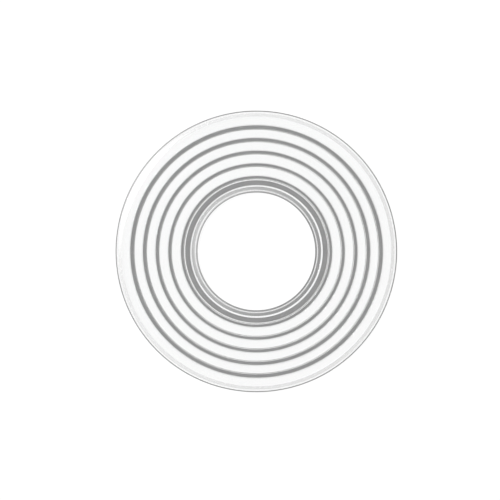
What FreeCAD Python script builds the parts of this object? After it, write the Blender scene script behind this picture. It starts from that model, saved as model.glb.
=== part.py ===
"""Nesting circle template: six clear acrylic rings that sit one inside the next as a flat disc.

The outermost ring is the frame.  Each further ring lifts straight out of the one around it, and
has a flange that hangs on that ring's lip when the set is picked up.  The set draws circles of
200, 180, 160, 140 and 120 mm, the frame's own outline and the opening in the middle.  A grey
rubber band let into the underside of every ring stands on the paper and keeps it from slipping.

The frame steps down by a ramp to a thinner drawing edge.  The middle ring has a low rim around
its opening, and then a ledge that rolls over into a groove for the fingertips.

Frame: millimetres, +Z up, origin on the axis at the level of the paper.
"""

import FreeCAD, Part
import Sketcher

import os

NESTED_RINGS = 5
MIDDLE = NESTED_RINGS  # the last ring, around the open middle; ring 0 is the frame
FULL_TURN = 360  # degrees
SAME_PLACE = 1e-4  # mm, within which an edge is where it is looked for
LEAST_CUT = 1e-3  # mm3, that any cut or rounding has to take away

# Driving dimensions in mm: alias, value, what it is.
DIMENSIONS = (
    ("largest_circle", 200.0, "diameter of the largest nested ring"),
    ("circle_step", 20.0, "difference in diameter from one ring to the next"),
    ("frame_diameter", 222.0, "outline of the frame"),
    ("ramp_inner", 212.6, "diameter where the frame's top starts down to its drawing edge"),
    ("ramp_outer", 217.8, "diameter where that ramp ends and the thin edge begins"),
    ("ramp_drop", 1.2, "height of the ramp"),
    ("sheet_thickness", 3.0, "thickness of the clear acrylic"),
    ("lip_thickness", 1.45, "thickness of the lip that carries the next ring"),
    ("flange_thickness", 1.45, "thickness of the flange that hangs on it"),
    ("flange_clearance", 0.15, "radial gap between a flange and the wall around it"),
    ("lip_clearance", 0.15, "radial gap between a ring's lower wall and the lip"),
    ("lip_edge", 0.4, "from a band's inner edge to the edge of the lip it is let into"),
    ("band_inset", 0.5, "how far a band's outer edge lies inside the flange above it"),
    ("band_width", 2.6, "width of the frame's band"),
    ("band_taper", 0.2, "how much narrower each next band is"),
    ("band_thickness", 0.5, "thickness of a rubber band"),
    ("band_proud", 0.2, "how far a band stands out below the acrylic"),
    ("glue_line", 0.05, "film of glue around a band in its channel"),
    ("opening_diameter", 92.9, "open middle, at the drawing edge"),
    ("rim_top", 93.8, "outer diameter of the flat top of the rim around the opening"),
    ("rim_foot", 95.6, "diameter where that rim's slope meets the ledge"),
    ("rim_height", 0.65, "height of the rim above the ledge"),
    ("groove_inner", 96.8, "diameter where the ledge ends and the finger groove begins"),
    ("groove_bottom", 101.5, "diameter where that groove is deepest"),
    ("groove_outer", 102.0, "outer diameter of the groove"),
    ("groove_depth", 2.2, "depth of the groove below the ring's top"),
    ("groove_roll", 1.0, "radius of the ledge's roll into the groove"),
    ("middle_band_inner", 104.8, "inner diameter of the middle ring's band"),
    ("middle_band_outer", 112.3, "outer diameter of the middle ring's band"),
    ("edge_break", 0.12, "rounding of the clear edges where rings meet"),
    ("outline_round", 0.8, "rounding of the frame's outline"),
    ("lead_in", 0.25, "chamfer that guides a ring into the lip below it"),
    ("band_round", 0.12, "rounding of a band's lower edges"),
)


def make_sheet(doc):
    """The spreadsheet of driving dimensions, one aliased cell to a row."""
    sheet = doc.addObject("Spreadsheet::Sheet", "Sizes")
    for row, (alias, value, meaning) in enumerate(DIMENSIONS, start=1):
        sheet.set(f"A{row}", meaning)
        sheet.set(f"B{row}", str(value))
        sheet.setAlias(f"B{row}", alias)
    return sheet


# Heights, as expressions on the sheet.
UNDERSIDE = "Sizes.band_proud"
TOP = "(Sizes.band_proud + Sizes.sheet_thickness)"
LIP_TOP = "(Sizes.band_proud + Sizes.lip_thickness)"
FLANGE_UNDERSIDE = "(Sizes.band_proud + Sizes.sheet_thickness - Sizes.flange_thickness)"
BAND_TOP = "Sizes.band_thickness"
CHANNEL_CEILING = "(Sizes.band_thickness + Sizes.glue_line)"
BELOW_ALL = "-Sizes.band_proud"
ABOVE_ALL = "(2 * Sizes.band_proud + Sizes.sheet_thickness)"
EDGE_TOP = "(Sizes.band_proud + Sizes.sheet_thickness - Sizes.ramp_drop)"
LEDGE = "(Sizes.band_proud + Sizes.sheet_thickness - Sizes.rim_height)"
GROOVE_FLOOR = "(Sizes.band_proud + Sizes.sheet_thickness - Sizes.groove_depth)"


def flange_radius(ring):
    """Outer radius of a nested ring, 1 to NESTED_RINGS, which is half its nominal circle."""
    return f"((Sizes.largest_circle - {ring - 1} * Sizes.circle_step) / 2)"


def outer_radius(ring):
    return "(Sizes.frame_diameter / 2)" if ring == 0 else flange_radius(ring)


def band_radii(ring):
    """Inner and outer radius of the band under a ring: below its lip, or under the middle ring."""
    if ring == MIDDLE:
        return "(Sizes.middle_band_inner / 2)", "(Sizes.middle_band_outer / 2)"
    outer = f"({flange_radius(ring + 1)} - Sizes.band_inset)"
    return f"({outer} - Sizes.band_width + {ring} * Sizes.band_taper)", outer


def lip_inner_radius(ring):
    """The drawing edge inside a ring."""
    if ring == MIDDLE:
        return "(Sizes.opening_diameter / 2)"
    return f"({band_radii(ring)[0]} - Sizes.lip_edge)"


def seat_radius(ring):
    """The wall around the next ring's flange."""
    return f"({flange_radius(ring + 1)} + Sizes.flange_clearance)"


def shank_radius(ring):
    """Outer radius of a ring below its flange, where it passes the lip around it."""
    return f"({lip_inner_radius(ring - 1)} - Sizes.lip_clearance)"


def number(obj, expression):
    """The value of an expression, in mm."""
    value = obj.evalExpression(expression)
    return float(getattr(value, "Value", value))


def profile(body, name, corners):
    """A closed outline on the body's XZ plane.  Each corner is (radius, height), as expressions."""
    sketch = body.newObject("Sketcher::SketchObject", name)
    plane = next(o for o in body.Origin.OriginFeatures if o.Role == "XZ_Plane")
    sketch.AttachmentSupport = [(plane, "")]
    sketch.MapMode = "FlatFace"
    points = [
        FreeCAD.Vector(number(sketch, radius), number(sketch, height), 0)
        for radius, height in corners
    ]
    last = len(points) - 1
    for i, point in enumerate(points):
        sketch.addGeometry(Part.LineSegment(point, points[0 if i == last else i + 1]), False)
    for i in range(len(points)):
        sketch.addConstraint(
            Sketcher.Constraint("Coincident", i, 2, 0 if i == last else i + 1, 1)
        )
    for i, (point, corner) in enumerate(zip(points, corners)):
        for kind, value, expression in zip(("DistanceX", "DistanceY"), point, corner):
            index = sketch.addConstraint(Sketcher.Constraint(kind, -1, 1, i, 1, value))
            sketch.setExpression(f"Constraints[{index}]", expression)
    return sketch


def require_cut(body, name, before):
    """Stops if the newest feature has left the body's volume as it was before."""
    if body.Tip.Shape.Volume > before - LEAST_CUT:
        raise RuntimeError(f"{body.Label}: {name} took nothing away")


def revolve(body, kind, name, corners):
    """A PartDesign Revolution or Groove of a profile, right round the part's axis."""
    sketch = profile(body, name + "Profile", corners)
    feature = body.newObject(kind, name)
    feature.Profile = sketch
    feature.ReferenceAxis = (sketch, ["V_Axis"])
    feature.Angle = FULL_TURN
    body.Document.recompute()


def circular_edges(feature, places):
    """Names of the circular edges of a feature at the given (radius, height) places."""
    wanted = [(number(feature, radius), number(feature, height)) for radius, height in places]
    names = []
    for radius, height in wanted:
        found = [
            f"Edge{i}"
            for i, edge in enumerate(feature.Shape.Edges, start=1)
            if edge.Curve.TypeId == "Part::GeomCircle"
            and abs(edge.Curve.Radius - radius) < SAME_PLACE
            and abs(edge.Curve.Center.z - height) < SAME_PLACE
        ]
        if not found:
            raise RuntimeError(f"{feature.Name}: no edge of radius {radius} at {height}")
        names += found
    return names


def dress(body, kind, name, places, **sizes):
    """A Fillet or Chamfer on the circular edges at these places, with its sizes bound."""
    base = body.Tip
    feature = body.newObject(kind, name)
    feature.Base = (base, circular_edges(base, places))
    for size, expression in sizes.items():
        feature.setExpression(size, expression)
    body.Document.recompute()
    require_cut(body, name, base.Shape.Volume)


def new_body(doc, label):
    body = doc.addObject("PartDesign::Body", "Body_" + label)
    body.Label = label
    return body


def ring_section(ring):
    """Corners of a ring's section, round from the underside of its inner edge."""
    lip, outer = lip_inner_radius(ring), outer_radius(ring)
    if ring == MIDDLE:
        inside = [(lip, UNDERSIDE), (lip, TOP)]
    else:
        seat = seat_radius(ring)
        inside = [(lip, UNDERSIDE), (lip, LIP_TOP), (seat, LIP_TOP), (seat, TOP)]
    if ring == 0:
        ramp = [("(Sizes.ramp_inner / 2)", TOP), ("(Sizes.ramp_outer / 2)", EDGE_TOP)]
        return inside + ramp + [(outer, EDGE_TOP), (outer, UNDERSIDE)]
    shank = shank_radius(ring)
    flange = [(outer, TOP), (outer, FLANGE_UNDERSIDE), (shank, FLANGE_UNDERSIDE)]
    return inside + flange + [(shank, UNDERSIDE)]


def cut_round(body, name, corners):
    """A Groove right round the ring, which has to take something away."""
    before = body.Tip.Shape.Volume
    revolve(body, "PartDesign::Groove", name, corners)
    require_cut(body, name, before)


def make_ring(doc, label, ring):
    """One clear ring, 0 for the frame, with the channel for its band and its edges eased."""
    body = new_body(doc, label)
    revolve(body, "PartDesign::Revolution", "Ring", ring_section(ring))
    inner, outer = band_radii(ring)
    inner, outer = f"({inner} - Sizes.glue_line)", f"({outer} + Sizes.glue_line)"
    cut_round(body, "BandChannel", [
        (inner, BELOW_ALL), (inner, CHANNEL_CEILING), (outer, CHANNEL_CEILING), (outer, BELOW_ALL)
    ])
    if ring == MIDDLE:
        rim, ledge_end = "(Sizes.rim_top / 2)", "(Sizes.groove_inner / 2)"
        wall = "(Sizes.groove_outer / 2)"
        cut_round(body, "FingerGroove", [
            (rim, TOP), (rim, ABOVE_ALL), (wall, ABOVE_ALL), (wall, TOP),
            ("(Sizes.groove_bottom / 2)", GROOVE_FLOOR), (ledge_end, LEDGE),
            ("(Sizes.rim_foot / 2)", LEDGE),
        ])
        dress(body, "PartDesign::Fillet", "LedgeRoll", [(ledge_end, LEDGE)],
              Radius="Sizes.groove_roll")
        eased = [(lip_inner_radius(ring), TOP), (wall, TOP)]
    else:
        eased = [(lip_inner_radius(ring), LIP_TOP), (seat_radius(ring), TOP)]
    if ring == 0:
        dress(body, "PartDesign::Fillet", "OutlineRound", [(outer_radius(0), EDGE_TOP)],
              Radius="Sizes.outline_round")
    else:
        dress(body, "PartDesign::Chamfer", "LeadIn", [(shank_radius(ring), UNDERSIDE)],
              Size="Sizes.lead_in")
        eased.append((outer_radius(ring), TOP))
    dress(body, "PartDesign::Fillet", "EasedEdges", eased, Radius="Sizes.edge_break")
    return body


def make_band(doc, label, ring):
    """The rubber band under a ring, flat, with its lower edges rounded."""
    body = new_body(doc, label)
    inner, outer = band_radii(ring)
    section = [(inner, "0"), (inner, BAND_TOP), (outer, BAND_TOP), (outer, "0")]
    revolve(body, "PartDesign::Revolution", "Band", section)
    dress(body, "PartDesign::Fillet", "RoundedFoot", [(inner, "0"), (outer, "0")],
          Radius="Sizes.band_round")
    return body


def ring_name(doc, ring):
    """A ring is called by the diameter in mm that its flange draws."""
    return "frame" if ring == 0 else f"{round(2 * number(doc.Sizes, flange_radius(ring)))}"


def make_parts(doc):
    parts = []
    for ring in range(NESTED_RINGS + 1):
        name = ring_name(doc, ring)
        clear = "frame_ring" if ring == 0 else f"ring_{name}"
        band = "frame_grip_band" if ring == 0 else f"grip_band_{name}"
        parts.append(make_ring(doc, clear, ring))
        parts.append(make_band(doc, band, ring))
    return parts


def check(doc, parts):
    """Stops before anything is written if an object has failed or a shape isn't one sound solid."""
    for obj in doc.Objects:
        if {"Invalid", "Error"} & set(obj.State):
            raise RuntimeError(f"{obj.Label} failed: {obj.State}")
    for part in parts:
        shape = part.Shape
        if shape.isNull() or not shape.isValid() or len(shape.Solids) != 1:
            raise RuntimeError(f"{part.Label} isn't one valid solid")


def main():
    doc = FreeCAD.newDocument("CircleTemplate")
    make_sheet(doc)
    doc.recompute()
    parts = make_parts(doc)
    doc.recompute()
    check(doc, parts)
    os.makedirs("parts", exist_ok=True)
    for part in parts:
        part.Shape.exportStep(f"parts/{part.Label}.step")
        print(f"{part.Label}: {part.Shape.Volume:.1f} mm3")


main()
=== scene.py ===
"""Looks for the nesting circle template: clear rings, rubber bands, floor, light and camera."""

import math

import bpy
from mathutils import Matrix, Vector


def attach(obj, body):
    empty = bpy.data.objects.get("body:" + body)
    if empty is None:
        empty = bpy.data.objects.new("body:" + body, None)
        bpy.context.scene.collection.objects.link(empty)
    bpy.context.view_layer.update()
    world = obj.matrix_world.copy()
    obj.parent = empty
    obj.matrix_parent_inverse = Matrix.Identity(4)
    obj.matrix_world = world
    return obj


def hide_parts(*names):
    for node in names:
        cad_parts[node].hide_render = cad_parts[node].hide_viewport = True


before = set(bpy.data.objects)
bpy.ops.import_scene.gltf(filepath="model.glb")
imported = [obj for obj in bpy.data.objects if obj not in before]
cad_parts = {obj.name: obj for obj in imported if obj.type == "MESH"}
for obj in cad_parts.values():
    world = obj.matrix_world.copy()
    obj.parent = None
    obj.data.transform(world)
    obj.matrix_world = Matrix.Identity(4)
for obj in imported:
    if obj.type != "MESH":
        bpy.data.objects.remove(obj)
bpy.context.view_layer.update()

MM = 0.001

# Rings from the outside in, each with the body it rides on and the band under it.
SIZES = (200, 180, 160, 140, 120)
RINGS = [("frame_ring", "frame_grip_band", "frame")]
RINGS += [(f"ring_{size}", f"grip_band_{size}", f"nest_{size}") for size in SIZES]

# The section's details, as the CAD part has them.
LIP_THICKNESS = 1.45 * MM
FLANGE_THICKNESS = 1.45 * MM
CLEARANCE = 0.15 * MM  # around a flange, and around a ring's lower wall
GLUE_LINE = 0.05 * MM
EDGE_BREAK = 0.12 * MM
OUTLINE_ROUND = 0.8 * MM
LEAD_IN = 0.25 * MM
RAMP_RADII = (106.3 * MM, 108.9 * MM)
RAMP_DROP = 1.2 * MM
RIM_RADII = (46.9 * MM, 47.8 * MM)  # where the rim's flat top ends, and its foot on the ledge
RIM_HEIGHT = 0.65 * MM
GROOVE_RADII = (48.4 * MM, 50.75 * MM, 51.0 * MM)  # ledge's end, bottom and outer wall
GROOVE_DEPTH = 2.2 * MM
GROOVE_ROLL = 1.0 * MM
BAND_ROUND = 0.12 * MM

# How finely the surfaces are built.
SEGMENTS = 288
ARC_STEPS = 5
SUPPORT = 0.04 * MM  # a loop this far from each rounding keeps the flat beside it flat
SHARP_ANGLE = math.radians(28)

# Grip ribs in the foot of each band.
RIB_GROOVES = 3
RIB_DEPTH = 0.1 * MM
RIB_HALF_WIDTH = 0.13 * MM

# Staging.
FLOOR_SIZE = 12.0
CAMERA_HEIGHT = 1.7
SENSOR_WIDTH = 36  # mm
FAR_CLIP = 100
VIEW_WIDTH = 0.3946  # of the floor, across the whole picture
OFF_CENTRE = (-5.0 * MM, 1.1 * MM)  # where the camera stands, from the object's axis
SUN_ELEVATION = math.radians(55)
SUN_AZIMUTH = math.radians(150)  # from +X, so the light comes from the left
SUN_SPREAD = math.radians(24)
SUN_STRENGTH = 2.95
HORIZON = 0.22  # brightness of the studio level with the floor
ZENITH = 0.36  # and from FULL_SKY upwards, which is a height on a sphere of radius 1
FULL_SKY = 0.55
CLEAR_LAYERS = 24  # see-through surfaces that a ray may cross

# Surfaces.
ACRYLIC_IOR = 1.49
RED_SHARE = 0.997  # of the tint, which leaves the acrylic faintly cool
HAZE_SPREAD = 0.3  # how far the roughness wanders either way, as a share of itself
RUBBER_GREY = 0.26
MOTTLING = 0.012  # how far the rubber's grey wanders either way
TURNING_PITCH = 0.3 * MM  # from one mark of the lathe tool to the next
HAIRLINE_WIDTH = 0.004  # of the range of the noise whose middle value the scratches follow
WORN_ROUGHNESS = 0.12  # what a hairline scratch adds to the roughness of a smooth face
POLISHED, HONED_PAINTED_SHADE, TURNED_PAINTED_SHADE, GROOVED_PAINTED_SHADE = range(4)  # finishes of the acrylic, in the order below

# Name, tint, transmission, roughness, share of the lamps' light let through, depth of the surface
# detail, and whether the lathe's marks show.
# The honed, turned and grooved tints are partly the satin acrylic's own grey and partly painted
# shade. They are darker than satin acrylic is and stand in for the dark lines at edges and slopes
# that refraction and shade give.
FINISHES = (
    ("polished_acrylic", 0.99, 1.0, 0.015, 0.985, 0.001 * MM, False),
    ("honed_acrylic_painted_shade", 0.75, 0.45, 0.25, 0.95, 0.004 * MM, False),
    ("turned_acrylic_painted_shade", 0.18, 0.2, 0.4, 0.95, 0.01 * MM, True),
    ("grooved_acrylic_painted_shade", 0.41, 0.1, 0.5, 0.95, 0.01 * MM, True),
)


def ring_extent(node):
    """Inner and outer radius and lowest and highest z of a CAD node that is turned about Z."""
    points = [v.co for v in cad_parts[node].data.vertices]
    radii = [math.hypot(p.x, p.y) for p in points]
    heights = [p.z for p in points]
    return min(radii), max(radii), min(heights), max(heights)


def rounded(corners):
    """An outline's points, each with the finish of the surface that starts there.

    Each corner is (r, z, radius, finish of the rounding, finish of the straight after it).  A
    radius of 0 leaves the corner sharp.
    """
    points = []
    count = len(corners)
    for i, (r, z, radius, on_round, after_it) in enumerate(corners):
        here = Vector((r, z))
        if radius == 0:
            points.append((here, after_it))
            continue
        before = (Vector(corners[i - 1][:2]) - here).normalized()
        after = (Vector(corners[(i + 1) % count][:2]) - here).normalized()
        half = before.angle(after) / 2
        reach = radius / math.tan(half)
        centre = here + (before + after).normalized() * (radius / math.sin(half))
        start = here + before * reach - centre
        sweep = start.angle_signed(here + after * reach - centre)
        points.append((here + before * (reach + SUPPORT), corners[i - 1][4]))
        for step in range(ARC_STEPS + 1):
            angle = -sweep * step / ARC_STEPS
            turned = Vector((
                start.x * math.cos(angle) - start.y * math.sin(angle),
                start.x * math.sin(angle) + start.y * math.cos(angle),
            ))
            points.append((centre + turned, after_it if step == ARC_STEPS else on_round))
        points.append((here + after * (reach + SUPPORT), after_it))
    return points


def lathe(name, section, materials):
    """A closed ring, smooth but for its real corners, turned about Z from an outline."""
    rows = len(section)
    verts = []
    for turn in range(SEGMENTS):
        angle = math.tau * turn / SEGMENTS
        verts += [(p.x * math.cos(angle), p.x * math.sin(angle), p.y) for p, _ in section]
    faces = []
    for turn in range(SEGMENTS):
        here, there = turn * rows, (turn + 1) % SEGMENTS * rows
        for row in range(rows):
            following = (row + 1) % rows
            faces.append((here + row, here + following, there + following, there + row))
    mesh = bpy.data.meshes.new(name)
    mesh.from_pydata(verts, [], faces)
    for material in materials:
        mesh.materials.append(material)
    for turn in range(SEGMENTS):
        for row, (_, finish) in enumerate(section):
            mesh.polygons[turn * rows + row].material_index = finish
    mesh.validate()
    mesh.shade_smooth()
    mesh.set_sharp_from_angle(angle=SHARP_ANGLE)
    piece = bpy.data.objects.new(name, mesh)
    bpy.context.scene.collection.objects.link(piece)
    return piece


def corner(r, z, radius=0, on_round=POLISHED, after=POLISHED):
    """One corner of an outline, with the finish of its rounding and of the straight after it."""
    return r, z, radius, on_round, after


def clear_section(index):
    """Outline of a clear ring, clockwise from the underside of its inner edge."""
    node, band, _ = RINGS[index]
    inner, outer, low, high = ring_extent(node)
    band_inner, band_outer, _, band_top = ring_extent(band)
    ceiling = band_top + GLUE_LINE
    channel = [
        corner(band_outer + GLUE_LINE, low),
        corner(band_outer + GLUE_LINE, ceiling),
        corner(band_inner - GLUE_LINE, ceiling),
        corner(band_inner - GLUE_LINE, low),
    ]
    if index == len(RINGS) - 1:
        # The opening's wall and rounding take the turned finish, and the rim's slope and the
        # groove take the grooved one. The grey of each is partly painted shade.
        inside = [
            corner(inner, low, after=TURNED_PAINTED_SHADE),
            corner(inner, high, EDGE_BREAK, TURNED_PAINTED_SHADE, TURNED_PAINTED_SHADE),
            corner(RIM_RADII[0], high, after=GROOVED_PAINTED_SHADE),
            corner(RIM_RADII[1], high - RIM_HEIGHT),
            corner(GROOVE_RADII[0], high - RIM_HEIGHT, GROOVE_ROLL, HONED_PAINTED_SHADE, GROOVED_PAINTED_SHADE),
            corner(GROOVE_RADII[1], high - GROOVE_DEPTH),
            corner(GROOVE_RADII[2], high, EDGE_BREAK),
        ]
    else:
        seat = ring_extent(RINGS[index + 1][0])[1] + CLEARANCE
        inside = [
            corner(inner, low),
            corner(inner, low + LIP_THICKNESS, EDGE_BREAK),
            corner(seat, low + LIP_THICKNESS),
            corner(seat, high, EDGE_BREAK),
        ]
    if index == 0:
        edge = high - RAMP_DROP
        # The ramp takes the honed finish and the outline's rounding the turned one. The grey of
        # each is partly painted shade.
        outside = [
            corner(RAMP_RADII[0], high, after=HONED_PAINTED_SHADE),
            corner(RAMP_RADII[1], edge),
            corner(outer, edge, OUTLINE_ROUND, TURNED_PAINTED_SHADE, TURNED_PAINTED_SHADE),
            corner(outer, low),
        ]
    else:
        shank = ring_extent(RINGS[index - 1][0])[0] - CLEARANCE
        outside = [
            corner(outer, high, EDGE_BREAK),
            corner(outer, high - FLANGE_THICKNESS),
            corner(shank, high - FLANGE_THICKNESS),
            corner(shank, low + LEAD_IN),
            corner(shank - LEAD_IN, low),
        ]
    return inside + outside + channel


def band_section(node):
    """Outline of a rubber band, clockwise, with ribs between the shallow grooves in its foot."""
    inner, outer, low, high = ring_extent(node)
    corners = [
        corner(inner, low, BAND_ROUND),
        corner(inner, high),
        corner(outer, high),
        corner(outer, low, BAND_ROUND),
    ]
    spacing = (outer - inner) / (RIB_GROOVES + 1)
    for groove in range(RIB_GROOVES):
        middle = outer - spacing * (groove + 1)
        corners += [
            corner(middle + RIB_HALF_WIDTH, low),
            corner(middle, low + RIB_DEPTH),
            corner(middle - RIB_HALF_WIDTH, low),
        ]
    return corners


def node_tree(name):
    """A new material's nodes and links, with its Principled shader and output."""
    material = bpy.data.materials.new(name)
    material.use_nodes = True
    tree = material.node_tree
    tree.nodes.clear()
    output = tree.nodes.new("ShaderNodeOutputMaterial")
    shader = tree.nodes.new("ShaderNodeBsdfPrincipled")
    tree.links.new(shader.outputs["BSDF"], output.inputs["Surface"])
    return material, tree, shader, output


def let_through(tree, shader_socket, path_output, lamp_share):
    """Mixes in a plain Transparent shader for the rays named, so that they aren't blocked."""
    light_path = tree.nodes.new("ShaderNodeLightPath")
    clear = tree.nodes.new("ShaderNodeBsdfTransparent")
    clear.inputs["Color"].default_value = (lamp_share, lamp_share, lamp_share, 1)
    mix = tree.nodes.new("ShaderNodeMixShader")
    tree.links.new(light_path.outputs[path_output], mix.inputs[0])
    tree.links.new(shader_socket, mix.inputs[1])
    tree.links.new(clear.outputs["BSDF"], mix.inputs[2])
    return mix.outputs[0]


def object_position(tree):
    """Where a point lies on its own object."""
    return tree.nodes.new("ShaderNodeTexCoord").outputs["Object"]


def noise(tree, position, scale, detail, distortion=0):
    """Soft noise about a position, 0 to 1."""
    node = tree.nodes.new("ShaderNodeTexNoise")
    node.inputs["Scale"].default_value = scale
    node.inputs["Detail"].default_value = detail
    node.inputs["Distortion"].default_value = distortion
    tree.links.new(position, node.inputs["Vector"])
    return node.outputs["Fac"]


def emboss(tree, shader, height, strength, depth):
    """Gives a shader's surface fine relief."""
    bump = tree.nodes.new("ShaderNodeBump")
    bump.inputs["Strength"].default_value = strength
    bump.inputs["Distance"].default_value = depth
    tree.links.new(height, bump.inputs["Height"])
    tree.links.new(bump.outputs["Normal"], shader.inputs["Normal"])


def greys(tree, value, first, last):
    """A grey that follows a value from one end to the other, each end a (value, grey) pair."""
    ramp = tree.nodes.new("ShaderNodeValToRGB")
    for element, (position, grey) in zip(ramp.color_ramp.elements, (first, last)):
        element.position = position
        element.color = (grey, grey, grey, 1)
    tree.links.new(value, ramp.inputs["Fac"])
    return ramp.outputs["Color"]


def combine(tree, operation, first, second=0):
    """A Math node of one or two values, each of them a socket or a number."""
    node = tree.nodes.new("ShaderNodeMath")
    node.operation = operation
    for socket, value in zip(node.inputs, (first, second)):
        if isinstance(value, bpy.types.NodeSocket):
            tree.links.new(value, socket)
        else:
            socket.default_value = value
    return node.outputs[0]


def turning_marks(tree, position):
    """Fine circles about the axis, -1 to 1, on flat faces, walls and outward slopes alike."""
    flat = tree.nodes.new("ShaderNodeVectorMath")
    flat.operation = "MULTIPLY"
    flat.inputs[1].default_value = (1, 1, 0)
    tree.links.new(position, flat.inputs[0])
    radius = tree.nodes.new("ShaderNodeVectorMath")
    radius.operation = "LENGTH"
    tree.links.new(flat.outputs["Vector"], radius.inputs[0])
    split = tree.nodes.new("ShaderNodeSeparateXYZ")
    tree.links.new(position, split.inputs[0])
    across = combine(tree, "SUBTRACT", radius.outputs["Value"], split.outputs["Z"])
    phase = combine(tree, "MULTIPLY", across, math.tau / TURNING_PITCH)
    return combine(tree, "SINE", phase)


def hairlines(tree, position):
    """A few fine curved scratches from use, 1 in a scratch and 0 beside it."""
    wander = noise(tree, position, scale=55, detail=1, distortion=1.5)
    distance = combine(tree, "ABSOLUTE", combine(tree, "SUBTRACT", wander, 0.5))
    line = tree.nodes.new("ShaderNodeMapRange")
    line.inputs["From Max"].default_value = HAIRLINE_WIDTH
    line.inputs["To Min"].default_value = 1
    line.inputs["To Max"].default_value = 0
    tree.links.new(distance, line.inputs["Value"])
    return line.outputs["Result"]


def acrylic(name, tint, transmission, roughness, lamp_share, grain, turned):
    """Acrylic in one finish, with the values that FINISHES lists.

    A turned finish has the lathe's marks all over; the others are smooth, with hairline wear.
    """
    material, tree, shader, output = node_tree(name)
    # For the honed, turned and grooved finishes this tint is partly painted shade, a grey darker
    # than satin acrylic has.
    shader.inputs["Base Color"].default_value = (tint * RED_SHARE, tint, tint, 1)
    shader.inputs["IOR"].default_value = ACRYLIC_IOR
    shader.inputs["Transmission Weight"].default_value = transmission

    position = object_position(tree)
    scratches = noise(tree, position, scale=900, detail=3)
    if turned:
        height = combine(tree, "ADD", scratches, turning_marks(tree, position))
        wear = 0
    else:
        height = scratches
        wear = combine(tree, "MULTIPLY", hairlines(tree, position), WORN_ROUGHNESS)
    emboss(tree, shader, height, strength=0.4, depth=grain)

    haze = tree.nodes.new("ShaderNodeMapRange")
    haze.inputs["To Min"].default_value = roughness * (1 - HAZE_SPREAD)
    haze.inputs["To Max"].default_value = roughness * (1 + HAZE_SPREAD)
    tree.links.new(scratches, haze.inputs["Value"])
    rough = combine(tree, "ADD", haze.outputs["Result"], wear)
    tree.links.new(rough, shader.inputs["Roughness"])

    surface = let_through(tree, shader.outputs["BSDF"], "Is Diffuse Ray", lamp_share)
    surface = let_through(tree, surface, "Is Shadow Ray", lamp_share)
    tree.links.new(surface, output.inputs["Surface"])
    return material


def grip_rubber():
    """Matte mid-grey moulded rubber with a fine skin and slight mottling."""
    material, tree, shader, _ = node_tree("grip_rubber")
    position = object_position(tree)
    mottle = noise(tree, position, scale=120, detail=4)
    tone = greys(tree, mottle, (0.3, RUBBER_GREY - MOTTLING), (0.7, RUBBER_GREY + MOTTLING))
    tree.links.new(tone, shader.inputs["Base Color"])
    skin = noise(tree, position, scale=2600, detail=2)
    emboss(tree, shader, skin, strength=0.25, depth=0.03 * MM)
    shader.inputs["Roughness"].default_value = 0.8
    shader.inputs["Specular IOR Level"].default_value = 0.3
    return material


def paper():
    """The pale floor, with a faint paper grain."""
    material, tree, shader, _ = node_tree("pale_floor")
    fibres = noise(tree, object_position(tree), scale=1200, detail=2)
    emboss(tree, shader, fibres, strength=0.15, depth=0.02 * MM)
    shader.inputs["Base Color"].default_value = (0.94, 0.94, 0.94, 1)
    shader.inputs["Roughness"].default_value = 0.9
    shader.inputs["Specular IOR Level"].default_value = 0.1
    return material


def add_piece(name, section, node, body, materials):
    """A detailed piece in place of a CAD node."""
    piece = lathe(name, section, materials)
    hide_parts(node)
    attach(piece, body)


def add_floor():
    half = FLOOR_SIZE / 2
    mesh = bpy.data.meshes.new("floor")
    mesh.from_pydata([(-half, -half, 0), (half, -half, 0), (half, half, 0), (-half, half, 0)], [],
                     [(0, 1, 2, 3)])
    mesh.materials.append(paper())
    floor = bpy.data.objects.new("floor", mesh)
    bpy.context.scene.collection.objects.link(floor)


def add_camera():
    """Straight down on the object, the picture's top towards +Y."""
    data = bpy.data.cameras.new("camera")
    data.sensor_width = SENSOR_WIDTH
    data.lens = SENSOR_WIDTH * CAMERA_HEIGHT / VIEW_WIDTH
    data.clip_end = FAR_CLIP
    camera = bpy.data.objects.new("camera", data)
    camera.location = (*OFF_CENTRE, CAMERA_HEIGHT)
    bpy.context.scene.collection.objects.link(camera)
    bpy.context.scene.camera = camera


def add_key_light():
    """One broad, soft light from the left, a little from the top of the picture."""
    data = bpy.data.lights.new("key", "SUN")
    data.energy = SUN_STRENGTH
    data.angle = SUN_SPREAD
    light = bpy.data.objects.new("key", data)
    towards = Vector((
        math.cos(SUN_ELEVATION) * math.cos(SUN_AZIMUTH),
        math.cos(SUN_ELEVATION) * math.sin(SUN_AZIMUTH),
        math.sin(SUN_ELEVATION),
    ))
    light.rotation_mode = "QUATERNION"
    light.rotation_quaternion = towards.to_track_quat("Z", "Y")
    bpy.context.scene.collection.objects.link(light)


def add_world():
    """A studio that is bright overhead and a little darker towards the horizon."""
    world = bpy.data.worlds.new("studio")
    world.use_nodes = True
    tree = world.node_tree
    coords = tree.nodes.new("ShaderNodeTexCoord")
    split = tree.nodes.new("ShaderNodeSeparateXYZ")
    tree.links.new(coords.outputs["Generated"], split.inputs[0])
    sky = greys(tree, split.outputs["Z"], (0, HORIZON), (FULL_SKY, ZENITH))
    tree.links.new(sky, tree.nodes["Background"].inputs["Color"])
    bpy.context.scene.world = world


def main():
    finishes = [acrylic(*finish) for finish in FINISHES]
    rubber = [grip_rubber()]
    for index, (ring, band, body) in enumerate(RINGS):
        add_piece(f"clear_{ring}", rounded(clear_section(index)), ring, body, finishes)
        add_piece(f"rubber_{band}", rounded(band_section(band)), band, body, rubber)
    add_floor()
    add_world()
    add_key_light()
    add_camera()
    view = bpy.context.scene.view_settings
    view.view_transform = "Standard"
    bpy.context.scene.cycles.transparent_max_bounces = CLEAR_LAYERS


main()
